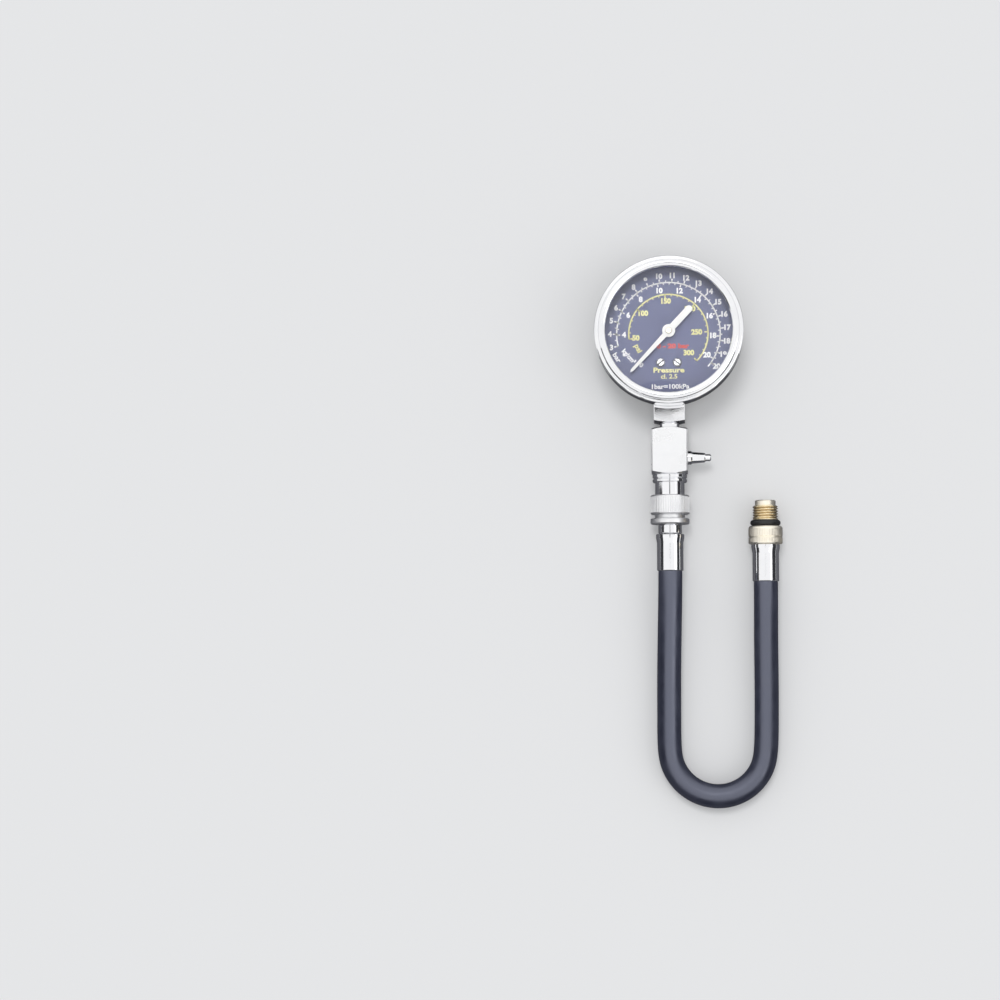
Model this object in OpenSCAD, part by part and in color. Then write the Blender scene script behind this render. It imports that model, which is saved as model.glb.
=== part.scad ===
// Compression tester gauge: a Bourdon-tube pressure gauge on a square tee block with a
// press-to-bleed valve, a ball-lock quick coupler and a short rubber hose that ends in a
// brass spark-plug fitting. The gauge lies on its back with the hose in a U beside it.
// Origin: centre of the case back. +Z points out of the dial, +Y to the top of the dial.
// Turned pieces on the stem are drawn by station, the distance below the dial axis.

/* [Gauge head] */
// Outside diameter of the bezel ring
bezel_d = 70; // [69:0.5:72]
// Diameter of the clear opening in the bezel
window_d = 59.2; // [57:0.2:60]
// Depth from the case back to the crown of the bezel
gauge_depth = 29.4; // [29.2:0.1:31]
// Height of the stem axis above the case back
stem_z = 9.5; // [9.4:0.05:9.7]
// Length of the pointer from its axis to its tip
pointer_tip = 26.6; // [24:0.2:27.5]
// Length of the pointer's broad tail
pointer_tail = 15.5; // [12:0.5:17]
// Bearing of the resting pointer, clockwise from the top of the dial
pointer_rest = -137; // [-150:1:-120]
// Width across the flats of the gauge's square stem
stem_flats = 14.6; // [14:0.1:14.8]

/* [Tee and bleed valve] */
// Width across the flats of the tee block
tee_flats = 17; // [16.5:0.1:17.6]
// Station of the tee's upper end
tee_top = 44.8; // [44.4:0.1:45.2]
// Length of the tee block
tee_len = 21.9; // [21.5:0.1:22.5]
// Reach of the bleed valve's housing beyond the tee
valve_len = 8.3; // [8:0.1:9.5]
// Travel of the bleed button
valve_travel = 1.6; // [1:0.1:1.8]

/* [Quick coupler] */
// Outside diameter of the sliding sleeve
sleeve_d = 18.4; // [17.8:0.1:18.6]
// Flutes in the sleeve's grip
sleeve_flutes = 56; // [40:1:60]
// Locking balls round the coupler
ball_count = 6; // [4:1:6]

/* [Hose and spark-plug fitting] */
// Outside diameter of the hose
hose_d = 11.3; // [11.2:0.1:11.4]
// Bore of the hose
hose_bore = 6.8; // [6.7:0.05:7]
// Diameter of the crimped ferrules below their bell
ferrule_d = 12.4; // [12.2:0.1:13]
// Major diameter of the spark-plug thread
thread_d = 11.9; // [11.6:0.05:12]
// Diameter of the fitting's grip collar
collar_d = 16; // [15.6:0.1:16]
// Flutes in the grip collar
collar_flutes = 60; // [40:1:64]

/* [Hidden] */
$fn = 64;
eps = 0.01;

// Case, bezel and lens
sheet = 0.8;
bezel_r = bezel_d / 2;
window_r = window_d / 2;
skirt_r = bezel_r - sheet;
rim_r = skirt_r - 0.1;
case_r = rim_r - 0.7;
case_in_r = case_r - sheet;
case_round = 2.5;
ring_under_z = gauge_depth - 2.2;
lens_t = 1.6;
lens_z = ring_under_z - lens_t;
gasket_t = 0.6;
rim_z = lens_z - gasket_t;
rim_t = 1;
skirt_z = rim_z - 7.5;
shoulder_round = 1.2;
shoulder_z = ring_under_z + 0.6;
crown_foot_r = bezel_r - 1.9;

// Dial, its screws and the pointer
dial_r = case_in_r - 1.2;
dial_t = 0.5;
dial_z = 19.5;
dial_face_z = dial_z + dial_t;
dial_hole_r = 2.2;
dial_screw_x = 3.92;
dial_screw_y = -14.85;
dial_screw_head_r = 2.05;
dial_screw_head_t = 1.1;
dial_screw_r = 1.25;
post_r = 2;
pointer_z = 22;
pointer_t = 0.5;
pointer_hub_r = 3.05;
pointer_neck = 2.4;
pointer_point = 1.3;
pointer_tail_w = 3.2;
bush_r = 1.45;

// Movement: pinion on the dial axis, toothed sector to its right
module_mm = 0.3;
pinion_teeth = 12;
sector_teeth = 84;
pinion_pitch_r = module_mm * pinion_teeth / 2;
sector_pitch_r = module_mm * sector_teeth / 2;
sector_bearing = -20;
sector_x = (pinion_pitch_r + sector_pitch_r) * cos(sector_bearing);
sector_y = (pinion_pitch_r + sector_pitch_r) * sin(sector_bearing);
pointer_sweep = 270;
sector_sweep = pointer_sweep * pinion_teeth / sector_teeth;
back_plate_z = 12;
plate_t = 0.8;
gear_z = 13.7;
gear_t = 1.1;
front_plate_z = 16.2;
arbor_r = 0.7;
arbor_fit = 0.05;
sector_arbor_r = 0.8;
pillar_r = 1.5;
pillar_places = [[10, 9.5], [-4.5, -5], [9, -13]];
plate_boss_r = 2.6;
plate_pivot_r = 3.4;
movement_screw_places = [[-4, -19.1], [4, -19.1]];
tail_len = 6;
tail_w = 3.4;
link_dx = tail_len * (1 + cos(sector_sweep / 2)) / 2;
link_dy = tail_len * sin(sector_sweep / 2);
link_x = sector_x + link_dx;
link_low_y = sector_y - link_dy;
link_high_y = 6.9;
link_z = 15;
link_t = 0.7;
link_pin_r = 0.5;
spring_z = 15.2;
spring_t = 0.7;

// Bourdon tube
tube_r = 25;
tube_z = 9;
tube_w = 2.6;
tube_h = 8.4;
tube_wall = 0.4;
tube_tip_angle = 12;
tube_start_angle = 19;
tube_root_angle = 268;

// Gauge socket, seen from outside as the square stem
socket_x = 7;
socket_top_y = -12.6;
neck_w = 12;
neck_h = 11;
stem_end = 42.75;
stem_corner_r = 10.1;
stem_thread_r = 4.85;
stem_thread_end = 52;
case_screw_places = [[-4.5, -20], [4.5, -20]];
case_screw_r = 1.2;
case_screw_head_r = 2.4;

// Tee block
tee_end = tee_top + tee_len;
tee_corner_r = 11.6;
tee_bore_r = 3.2;
valve_s = tee_top + 14.1;

// Bleed valve along +X
valve_root_r = 3.2;
valve_body_r = 2.75;
valve_tip_r = 2.15;
valve_thread_r = 2.6;
valve_in_x = 4.2;
valve_out_x = tee_flats / 2 + valve_len;
valve_bore_r = 1.7;
valve_stem_r = 0.7;
button_reach = 2.7;

// Quick coupler stations
ring_r = 8.1;
ring_end = tee_end + 4;
barrel_r = 6.9;
barrel_low_r = 6;
slide_fit = 0.08;
sleeve_top = ring_end + 5.95;
grip_end = sleeve_top + 9.1;
groove_end = grip_end + 1.95;
sleeve_end = groove_end + 2.7;
ledge_s = sleeve_top + 7.3;
relief_s = sleeve_end - 1.7;
spring_seat_s = sleeve_top + 0.3;
barrel_end = sleeve_end - 0.3;
ball_r = 1.2;
ball_s = ledge_s + 2;
ball_ring_r = barrel_low_r - ball_r;
plug_bore_r = 4.6;
coupler_thread_r = 4.85;
coupler_thread_top = tee_end - 4.1;
seal_s = sleeve_top + 1.1;
seal_wire_r = 0.6;

// Hose, ferrules and fitting stations
plug_collar_end = sleeve_end + 4.7;
plug_collar_r = 5.5;
hose_start = plug_collar_end + 0.2;
upper_ferrule_end = hose_start + 17.1;
fitting_x = 44.8;
fitting_z = 8.05;
fitting_tip = 79.2;
thread_start = fitting_tip + 2.4;
thread_end = thread_start + 6.8;
collar_start = thread_end + 2.95;
collar_end = collar_start + 8.55;
hose_end = collar_end + 0.2;
lower_ferrule_end = hose_end + 17.3;
ferrule_wall = 0.6;
ferrule_bell = 0.45;
crimp_r = ferrule_d / 2 - ferrule_wall - 0.02;
seal_groove_r = 4.35;
end_seal_r = 1.38;
barb_r = 3.2;
barb_len = 14.5;
bore_r = 1.6;
check_bore_r = 2.6;
pilot_r = 4.85;
check_bore_end = fitting_tip + 12;

// Centreline of the hose, from inside the upper ferrule round the bend to the lower one
hose_route = [
    [0, -hose_start, stem_z], [0, -104, stem_z], [0, -upper_ferrule_end, stem_z], [0, -115.4, stem_z],
    [-0.1, -124, 9.2], [-0.4, -138, 8.3], [-0.7, -152, 7.3], [-0.9, -166, 6.4], [-0.9, -180, 5.9],
    [-0.9, -195.8, 5.8], [0.8, -204.5, 5.8], [5.7, -211.8, 5.8], [13.1, -216.7, 5.8],
    [21.8, -218.4, 5.8],
    [30.4, -216.7, 5.8], [37.8, -211.8, 5.8], [42.7, -204.5, 5.8], [44.4, -195.8, 5.8],
    [44.7, -180, 5.9], [44.8, -166, 6.4], [44.7, -152, 7.1], [44.7, -138, 7.7],
    [fitting_x, -128, fitting_z], [fitting_x, -120.4, fitting_z], [fitting_x, -lower_ferrule_end, fitting_z],
    [fitting_x, -109, fitting_z], [fitting_x, -hose_end, fitting_z]
];

// Shared shapes

// A solid of revolution from [radius, station] points
module turned(points) {
    rotate_extrude() polygon(points);
}

module on_stem() {
    translate([0, 0, stem_z]) rotate([90, 0, 0]) children();
}

module on_fitting() {
    translate([fitting_x, 0, fitting_z]) rotate([90, 0, 0]) children();
}

module on_valve() {
    translate([0, -valve_s, stem_z]) rotate([0, 90, 0]) children();
}

// Square bar with its corners turned to a radius and a coned end at one or both stations
module square_bar(flats, corner_r, from, to, start_r, end_r, slope = tan(19)) {
    intersection() {
        translate([-flats / 2, -flats / 2, from]) cube([flats, flats, to - from]);
        turned([
            [0, from], [start_r, from],
            [corner_r, from + (corner_r - start_r) * slope],
            [corner_r, to - (corner_r - end_r) * slope],
            [end_r, to], [0, to]
        ]);
    }
}

// Straight flutes cut round a turned grip
module flutes(count, radius, depth, from, to) {
    for (i = [0 : count - 1])
        rotate(i * 360 / count) translate([radius, 0, from]) cylinder(r = depth, h = to - from, $fn = 16);
}

// Hose barb with three saw-tooth ridges, from its root station to its end
function barb_points(from, to) = [
    for (i = [0 : 2]) each [
        [barb_r - 0.5, from + i * (to - from) / 3],
        [barb_r, from + i * (to - from) / 3 + 0.4]
    ]
];

function polar(r, a) = [r * cos(a), r * sin(a)];

// One straight-flanked gear tooth, as root, tip, tip and root corners
function tooth(pitch_r, a) =
    let(
        root_r = pitch_r - 1.25 * module_mm,
        tip_r = pitch_r + 0.85 * module_mm,
        root_w = 0.25 * PI * module_mm,
        tip_w = 0.1 * PI * module_mm
    )
    [
        polar(root_r, a - root_w / root_r * 180 / PI),
        polar(tip_r, a - tip_w / tip_r * 180 / PI),
        polar(tip_r, a + tip_w / tip_r * 180 / PI),
        polar(root_r, a + root_w / root_r * 180 / PI)
    ];

// Catmull-Rom position between the second and third of four points
function between(p, q, r, s, t) =
    0.5 * (2 * q + (r - p) * t + (2 * p - 5 * q + 4 * r - s) * t * t + (3 * q - p - 3 * r + s) * t * t * t);

function smooth_route(points, steps) = [
    for (i = [0 : len(points) - 2], k = [0 : steps - 1])
        between(
            points[max(i - 1, 0)], points[i], points[i + 1],
            points[min(i + 2, len(points) - 1)], k / steps
        ),
    points[len(points) - 1]
];

function unit(v) = v / norm(v);

function heading(path, i) = unit(path[min(i + 1, len(path) - 1)] - path[max(i - 1, 0)]);

// One ring of points round a path, square to its heading
function ring_at(path, i, r, sides) =
    let(
        ahead = heading(path, i),
        side = unit(cross(ahead, [0, 0, 1])),
        up = cross(side, ahead)
    )
    [for (k = [0 : sides - 1]) path[i] + r * (cos(360 * k / sides) * side + sin(360 * k / sides) * up)];

// Tube with a bore, swept along a path that is never vertical, with a radius for each ring
module swept_tube(path, radii, r_in, sides) {
    n = len(path);
    outer = [for (i = [0 : n - 1]) each ring_at(path, i, radii[i], sides)];
    inner = [for (i = [0 : n - 1]) each ring_at(path, i, r_in, sides)];
    b = n * sides;
    walls = [
        for (i = [0 : n - 2], k = [0 : sides - 1])
            let(m = (k + 1) % sides, p = i * sides, q = p + sides)
            each [
                [p + k, q + k, q + m], [p + k, q + m, p + m],
                [b + p + k, b + q + m, b + q + k], [b + p + k, b + p + m, b + q + m]
            ]
    ];
    last = (n - 1) * sides;
    ends = [
        for (k = [0 : sides - 1])
            let(m = (k + 1) % sides)
            each [
                [k, m, b + m], [k, b + m, b + k],
                [last + m, last + k, b + last + k], [last + m, b + last + k, b + last + m]
            ]
    ];
    polyhedron(concat(outer, inner), concat(walls, ends));
}

// Compression spring along Z, a round wire swept up a helix
module coil_spring(mean_r, wire_r, height, turns, steps, sides) {
    n = turns * steps;
    rise = height - 2 * wire_r;
    tilt = atan(rise / (turns * 360 / 180 * PI * mean_r));
    points = [
        for (i = [0 : n], k = [0 : sides - 1])
            let(a = 360 * i / steps, w = 360 * k / sides, out = wire_r * cos(w), up = wire_r * sin(w))
            [
                (mean_r + out) * cos(a) + up * sin(tilt) * sin(a),
                (mean_r + out) * sin(a) - up * sin(tilt) * cos(a),
                wire_r + rise * i / n + up * cos(tilt)
            ]
    ];
    walls = [
        for (i = [0 : n - 1], k = [0 : sides - 1])
            let(m = (k + 1) % sides, p = i * sides, q = p + sides)
            each [[p + k, q + k, q + m], [p + k, q + m, p + m]]
    ];
    last = n * sides;
    caps = [for (k = [1 : sides - 2]) each [[0, k, k + 1], [last, last + k + 1, last + k]]];
    polyhedron(points, concat(walls, caps));
}

// Gauge head

module gauge_case() {
    round_x = case_r - case_round;
    in_round = case_round - sheet;
    round_pts = [for (a = [-90 : 15 : 0]) [round_x, case_round] + polar(case_round, a)];
    in_pts = [for (a = [0 : -15 : -90]) [round_x, case_round] + polar(in_round, a)];
    color("#1d1e20")
    difference() {
        turned(concat(
            [[0, 0]], round_pts,
            [[case_r, rim_z - rim_t], [rim_r, rim_z - rim_t], [rim_r, rim_z], [case_in_r, rim_z]],
            in_pts, [[0, sheet]]
        ));
        translate([-neck_w / 2 - 0.1, -case_r - 1, stem_z - neck_h / 2 - 0.1])
            cube([neck_w + 0.2, 4, neck_h + 0.2]);
        for (p = case_screw_places)
            translate([p[0], p[1], 0])
                cylinder(r1 = case_screw_head_r, r2 = case_screw_r + 0.3, h = sheet + eps);
    }
}

module case_screws() {
    slot_w = 0.6;
    color("#9a9c9e")
    for (p = case_screw_places)
        translate([p[0], p[1], 0]) difference() {
            union() {
                cylinder(r1 = case_screw_head_r - 0.05, r2 = case_screw_r + 0.25, h = sheet);
                translate([0, 0, sheet]) cylinder(r = case_screw_r, h = 5);
            }
            translate([-case_screw_head_r, -slot_w / 2, -eps]) cube([2 * case_screw_head_r, slot_w, 0.5]);
        }
}

module bezel_ring() {
    crown_w = crown_foot_r - window_r;
    shoulder_centre = [bezel_r - shoulder_round, shoulder_z - shoulder_round];
    shoulder = [for (a = [0 : 15 : 90]) shoulder_centre + polar(shoulder_round, a)];
    crown_z = gauge_depth - shoulder_z - 0.3;
    crown = [for (a = [10 : 10 : 170])
        [window_r + crown_w * (1 + cos(a)) / 2, shoulder_z + 0.3 + crown_z * sin(a)]];
    color("#dfe2e6")
    turned(concat(
        [[case_r + 0.1, skirt_z], [bezel_r - 0.4, skirt_z], [bezel_r, skirt_z + 0.4]],
        shoulder, [[crown_foot_r, shoulder_z], [crown_foot_r, shoulder_z + 0.3]], crown,
        [[window_r, shoulder_z + 0.2], [window_r, ring_under_z], [skirt_r, ring_under_z],
         [skirt_r, skirt_z + sheet], [case_r + 0.1, skirt_z + sheet]]
    ));
}

module lens() {
    color("#e8eef2", 0.3) translate([0, 0, lens_z]) cylinder(r = rim_r, h = lens_t);
}

module lens_gasket() {
    color("#202022") translate([0, 0, rim_z]) difference() {
        cylinder(r = rim_r, h = gasket_t);
        translate([0, 0, -eps]) cylinder(r = case_in_r - 0.3, h = gasket_t + 2 * eps);
    }
}

module at_dial_screws() {
    for (side = [-1, 1]) translate([side * dial_screw_x, dial_screw_y, 0]) children();
}

module dial_plate() {
    color("#16171b") translate([0, 0, dial_z]) difference() {
        cylinder(r = dial_r, h = dial_t);
        translate([0, 0, -eps]) cylinder(r = dial_hole_r, h = dial_t + 2 * eps);
        at_dial_screws() translate([0, 0, -eps]) cylinder(r = dial_screw_r + 0.1, h = dial_t + 2 * eps);
    }
}

module dial_screws() {
    slot_w = 0.75;
    slot_turn = 38;
    color("#c9ccd0") for (side = [-1, 1]) translate([side * dial_screw_x, dial_screw_y, 0]) difference() {
        union() {
            translate([0, 0, dial_face_z]) cylinder(r = dial_screw_head_r, h = dial_screw_head_t * 0.55);
            translate([0, 0, dial_face_z + dial_screw_head_t * 0.55])
                cylinder(r1 = dial_screw_head_r, r2 = dial_screw_head_r * 0.72, h = dial_screw_head_t * 0.45);
            translate([0, 0, dial_face_z - 4]) cylinder(r = dial_screw_r, h = 4);
        }
        rotate(-side * slot_turn) translate([-3, -slot_w / 2, dial_face_z + dial_screw_head_t * 0.4])
            cube([6, slot_w, 1]);
    }
}

// Pointer, drawn along +X and turned to its resting bearing
module pointer() {
    color("#f4f3ee") translate([0, 0, pointer_z]) rotate(90 - pointer_rest) difference() {
        linear_extrude(pointer_t) union() {
            circle(r = pointer_hub_r);
            polygon([
                [0, -pointer_neck / 2], [pointer_tip - 1.2, -pointer_point / 2], [pointer_tip, 0],
                [pointer_tip - 1.2, pointer_point / 2], [0, pointer_neck / 2]
            ]);
            translate([-pointer_tail + pointer_tail_w / 2, -pointer_tail_w / 2])
                square([pointer_tail - pointer_tail_w / 2, pointer_tail_w]);
            translate([-pointer_tail + pointer_tail_w / 2, 0]) circle(r = pointer_tail_w / 2);
        }
        translate([0, 0, -eps]) cylinder(r = bush_r, h = pointer_t + 2 * eps);
    }
}

module pointer_bush() {
    color("#e6dfc4") translate([0, 0, dial_face_z + 1]) difference() {
        union() {
            cylinder(r = bush_r, h = 2.2);
            translate([0, 0, 2.2]) cylinder(r1 = bush_r, r2 = bush_r - 0.3, h = 0.3);
        }
        translate([0, 0, -eps]) cylinder(r = arbor_r, h = 2 + 3 * eps);
    }
}

// Movement

module pinion_arbor() {
    tooth_turn = sector_bearing + 180 / pinion_teeth;
    teeth = [for (i = [0 : pinion_teeth - 1])
        each tooth(pinion_pitch_r, tooth_turn + i * 360 / pinion_teeth)];
    color("#c8a85a") {
        translate([0, 0, back_plate_z]) cylinder(r = arbor_r, h = dial_face_z + 3 - back_plate_z);
        translate([0, 0, gear_z]) linear_extrude(gear_t) polygon(teeth);
    }
}

module sector_gear() {
    to_pinion = sector_bearing + 180;
    pitch = 360 / sector_teeth;
    first = -ceil(sector_sweep / pitch) - 2;
    arc = [for (k = [first : 2]) each tooth(sector_pitch_r, to_pinion + k * pitch)];
    from = to_pinion + first * pitch;
    to = to_pinion + 2 * pitch;
    window = concat(
        [for (i = [0 : 8]) polar(10.6, from + 6 + (to - from - 12) * i / 8)],
        [for (i = [8 : -1 : 0]) polar(5.6, from + 10 + (to - from - 20) * i / 8)]
    );
    color("#c9a44e") translate([sector_x, sector_y, 0]) {
        translate([0, 0, gear_z]) linear_extrude(gear_t) difference() {
            union() {
                polygon(concat([[0, 0]], arc));
                circle(r = 2.8);
                rotate(-sector_sweep / 2) translate([0, -tail_w / 2]) square([tail_len + 1.6, tail_w]);
            }
            polygon(window);
            rotate(-sector_sweep / 2) translate([tail_len - 1.4, -link_pin_r - 0.3])
                square([2.4, 2 * link_pin_r + 0.6]);
        }
        translate([0, 0, back_plate_z])
            cylinder(r = sector_arbor_r, h = front_plate_z + plate_t - back_plate_z);
    }
}

// Flat spiral from the pinion's collet out to the pillar on its left
module hairspring() {
    turns = 4;
    steps = 24;
    strip = 0.16;
    start_r = 1.5;
    pitch = 0.75;
    end_angle = 180 + atan2(5, 4.5);
    line = [for (i = [0 : turns * steps])
        let(a = end_angle - 360 * (turns - i / steps)) [start_r + pitch * i / steps, a]];
    outer = [for (p = line) polar(p[0] + strip / 2, p[1])];
    inner = [for (i = [len(line) - 1 : -1 : 0]) polar(line[i][0] - strip / 2, line[i][1])];
    color("#b98f3c") translate([0, 0, spring_z]) linear_extrude(spring_t) polygon(concat(outer, inner));
}

module plate_outline() {
    for (p = pillar_places) translate(p) circle(r = plate_boss_r);
    circle(r = plate_pivot_r);
    translate([sector_x, sector_y]) circle(r = plate_pivot_r);
    polygon(concat([pillar_places[0], pillar_places[1], pillar_places[2]], [[sector_x, sector_y]]));
}

module plate_pivots(z) {
    translate([0, 0, z - eps]) cylinder(r = arbor_r + arbor_fit, h = plate_t + 2 * eps);
    translate([sector_x, sector_y, z - eps]) cylinder(r = sector_arbor_r + arbor_fit, h = plate_t + 2 * eps);
}

module movement_back_plate() {
    foot_y = -22.2;
    color("#b8a060") difference() {
        translate([0, 0, back_plate_z]) linear_extrude(plate_t) union() {
            plate_outline();
            polygon([
                pillar_places[1], [-socket_x + 0.5, foot_y], [socket_x - 0.5, foot_y], pillar_places[2]
            ]);
        }
        plate_pivots(back_plate_z);
        at_dial_screws() translate([0, 0, back_plate_z - eps])
            cylinder(r = post_r + 0.1, h = plate_t + 2 * eps);
        for (p = movement_screw_places)
            translate([p[0], p[1], back_plate_z - eps]) cylinder(r = 1.15, h = plate_t + 2 * eps);
    }
}

module movement_front_plate() {
    color("#b8a060") difference() {
        translate([0, 0, front_plate_z]) linear_extrude(plate_t) plate_outline();
        plate_pivots(front_plate_z);
    }
}

module movement_pillars() {
    color("#a98f4a") for (p = pillar_places)
        translate([p[0], p[1], back_plate_z + plate_t])
            cylinder(r = pillar_r, h = front_plate_z - back_plate_z - plate_t);
}

module movement_screws() {
    slot_w = 0.5;
    top_z = back_plate_z + plate_t;
    color("#c0c2c4") for (p = movement_screw_places)
        translate([p[0], p[1], 0]) difference() {
            union() {
                translate([0, 0, top_z]) cylinder(r = 1.9, h = 1.3);
                translate([0, 0, top_z - 4.5]) cylinder(r = 1.1, h = 4.5);
            }
            translate([-2, -slot_w / 2, top_z + 0.7]) cube([4, slot_w, 1]);
        }
}

// Flattened tube section, tall along Z, standing at the tube's radius
module tube_section(grow) {
    half = tube_h / 2 - tube_w / 2;
    translate([tube_r, tube_z]) {
        square([tube_w + 2 * grow, 2 * half], center = true);
        for (end = [-1, 1]) translate([0, end * half]) circle(r = tube_w / 2 + grow);
    }
}

module bourdon_tube() {
    color("#c79a4b") rotate(tube_start_angle) rotate_extrude(angle = tube_root_angle - tube_start_angle)
        difference() {
            tube_section(0);
            tube_section(-tube_wall);
        }
}

module tube_tip() {
    tab_w = 2.6;
    block_w = tube_w + 0.8;
    tab_x = tube_r * cos(tube_tip_angle) - 1;
    block_z = tube_z - tube_h / 2 - 0.4;
    color("#c9a65c") {
        difference() {
            rotate(tube_tip_angle) translate([tube_r - block_w / 2, 0, block_z])
                cube([block_w, 5.6, link_z - block_z]);
            rotate(tube_start_angle) rotate_extrude(angle = 15) tube_section(0.02);
        }
        translate([link_x, link_high_y - tab_w / 2, gear_z]) cube([tab_x - link_x, tab_w, link_z - gear_z]);
        translate([link_x, link_high_y, gear_z]) cylinder(r = tab_w / 2, h = link_z - gear_z);
    }
}

module link_rod() {
    color("#d0d2d4") {
        translate([0, 0, link_z]) linear_extrude(link_t) union() {
            translate([link_x - 0.8, link_low_y]) square([1.6, link_high_y - link_low_y]);
            for (y = [link_low_y, link_high_y]) translate([link_x, y]) circle(r = 1.4);
        }
        translate([link_x, link_low_y, gear_z - 0.2])
            cylinder(r = link_pin_r, h = link_z + eps - gear_z + 0.2);
        translate([link_x, link_high_y, link_z + link_t]) cylinder(r1 = 1, r2 = 0.7, h = 0.4);
    }
}

// Square stem, pressure block inside the case and the two posts that carry the dial
module gauge_socket() {
    inner_end = case_in_r - 0.1;
    slot_angle = tube_root_angle + 0.5;
    color("#d7dade") difference() {
        union() {
            on_stem()
                square_bar(stem_flats, stem_corner_r, case_r + 0.1, stem_end, stem_corner_r, 5.6, tan(15));
            on_stem() turned([
                [0, stem_end - 1], [stem_thread_r - 0.3, stem_end - 1], [stem_thread_r - 0.3, stem_end + 2.2],
                [stem_thread_r, stem_end + 2.6], [stem_thread_r, stem_thread_end - 0.6],
                [stem_thread_r - 0.6, stem_thread_end], [0, stem_thread_end]
            ]);
            translate([-neck_w / 2, -case_r - 1, stem_z - neck_h / 2]) cube([neck_w, 4, neck_h]);
            intersection() {
                translate([-socket_x, -inner_end, sheet])
                    cube([2 * socket_x, inner_end + socket_top_y, back_plate_z - sheet]);
                translate([0, 0, sheet]) cylinder(r = inner_end, h = back_plate_z);
                translate([-socket_x, -inner_end, case_round]) cube([2 * socket_x, inner_end, back_plate_z]);
            }
            translate([-socket_x + 1, -inner_end + 5, sheet]) cube([2 * socket_x - 2, 12, 3]);
            at_dial_screws() translate([0, 0, back_plate_z - 1])
                cylinder(r = post_r, h = dial_z - back_plate_z + 1);
        }
        rotate(90) rotate_extrude(angle = slot_angle - 90) tube_section(0.03);
        on_stem() translate([0, 0, tube_r - 1]) cylinder(r = bore_r, h = stem_thread_end);
        at_dial_screws() translate([0, 0, dial_z - 5]) cylinder(r = dial_screw_r + 0.02, h = 6);
        for (p = movement_screw_places) translate([p[0], p[1], back_plate_z - 4]) cylinder(r = 1.12, h = 5);
        for (p = case_screw_places) translate([p[0], p[1], 0]) cylinder(r = case_screw_r + 0.02, h = 6.2);
    }
}

// Tee block and bleed valve

module tee_body() {
    color("#e4e6e9") difference() {
        on_stem() square_bar(tee_flats, tee_corner_r, tee_top, tee_end, 8.2, 8.2);
        on_stem() translate([0, 0, tee_top - eps])
            cylinder(r = stem_thread_r + 0.05, h = stem_thread_end - tee_top + 0.3);
        on_stem() translate([0, 0, tee_top]) cylinder(r = tee_bore_r, h = tee_len - 1);
        on_stem() translate([0, 0, coupler_thread_top - 0.3])
            cylinder(r = coupler_thread_r + 0.05, h = tee_end - coupler_thread_top + 1);
        on_valve() cylinder(r = valve_thread_r + 0.05, h = tee_flats);
    }
}

module valve_housing() {
    face = tee_flats / 2;
    color("#d3d7db") on_valve() turned([
        [1, valve_in_x], [valve_thread_r, valve_in_x], [valve_thread_r, face],
        [valve_root_r, face], [valve_root_r, face + 1.6], [valve_body_r, face + 2.2],
        [valve_tip_r + 0.1, valve_out_x - 0.4], [valve_tip_r - 0.2, valve_out_x],
        [valve_bore_r, valve_out_x], [valve_bore_r, valve_in_x + 1], [1, valve_in_x + 1]
    ]);
}

module valve_button() {
    head_r = valve_bore_r - 0.06;
    color("#cfd4d9") on_valve() turned([
        [0, valve_in_x - 1.4], [0.95, valve_in_x - 1.4],
        [0.95, valve_in_x - 1], [valve_stem_r, valve_in_x - 1],
        [valve_stem_r, valve_out_x - valve_travel - 0.6], [head_r, valve_out_x - valve_travel - 0.6],
        [head_r, valve_out_x + button_reach - 0.5], [head_r - 0.5, valve_out_x + button_reach],
        [0, valve_out_x + button_reach]
    ]);
}

module valve_spring() {
    seat = valve_in_x + 1;
    color("#9fa3a7") on_valve() translate([0, 0, seat])
        coil_spring(1.2, 0.18, valve_out_x - valve_travel - 0.65 - seat, 5, 14, 6);
}

module valve_seal() {
    color("#222224") on_valve() translate([0, 0, valve_in_x - 1]) difference() {
        cylinder(r = 1.6, h = 0.98);
        translate([0, 0, -eps]) cylinder(r = valve_stem_r, h = 1);
    }
}

// Quick coupler

module coupler_body() {
    shoulder = spring_seat_s;
    color("#d9dce0") on_stem() difference() {
        turned([
            [1.8, coupler_thread_top], [coupler_thread_r - 0.4, coupler_thread_top],
            [coupler_thread_r, coupler_thread_top + 0.5], [coupler_thread_r, tee_end],
            [ring_r - 0.4, tee_end], [ring_r, tee_end + 0.4], [ring_r, tee_end + 1.7],
            [ring_r - 0.5, tee_end + 2], [ring_r - 0.5, tee_end + 2.3], [ring_r, tee_end + 2.6],
            [ring_r, ring_end - 0.4], [ring_r - 0.4, ring_end], [barrel_r, ring_end],
            [barrel_r, shoulder], [barrel_low_r, shoulder],
            [barrel_low_r, barrel_end - 1], [barrel_low_r - 0.4, barrel_end - 1],
            [barrel_low_r - 0.4, barrel_end - 0.4], [barrel_low_r - 0.1, barrel_end - 0.4],
            [barrel_low_r - 0.3, barrel_end], [plug_bore_r, barrel_end],
            [plug_bore_r, seal_s - seal_wire_r], [1.8, seal_s - seal_wire_r]
        ]);
        for (i = [0 : ball_count - 1])
            rotate(i * 360 / ball_count + 30) translate([plug_bore_r - 0.6, 0, ball_s]) rotate([0, 90, 0])
                cylinder(r = ball_r + 0.03, h = 3);
    }
}

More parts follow.
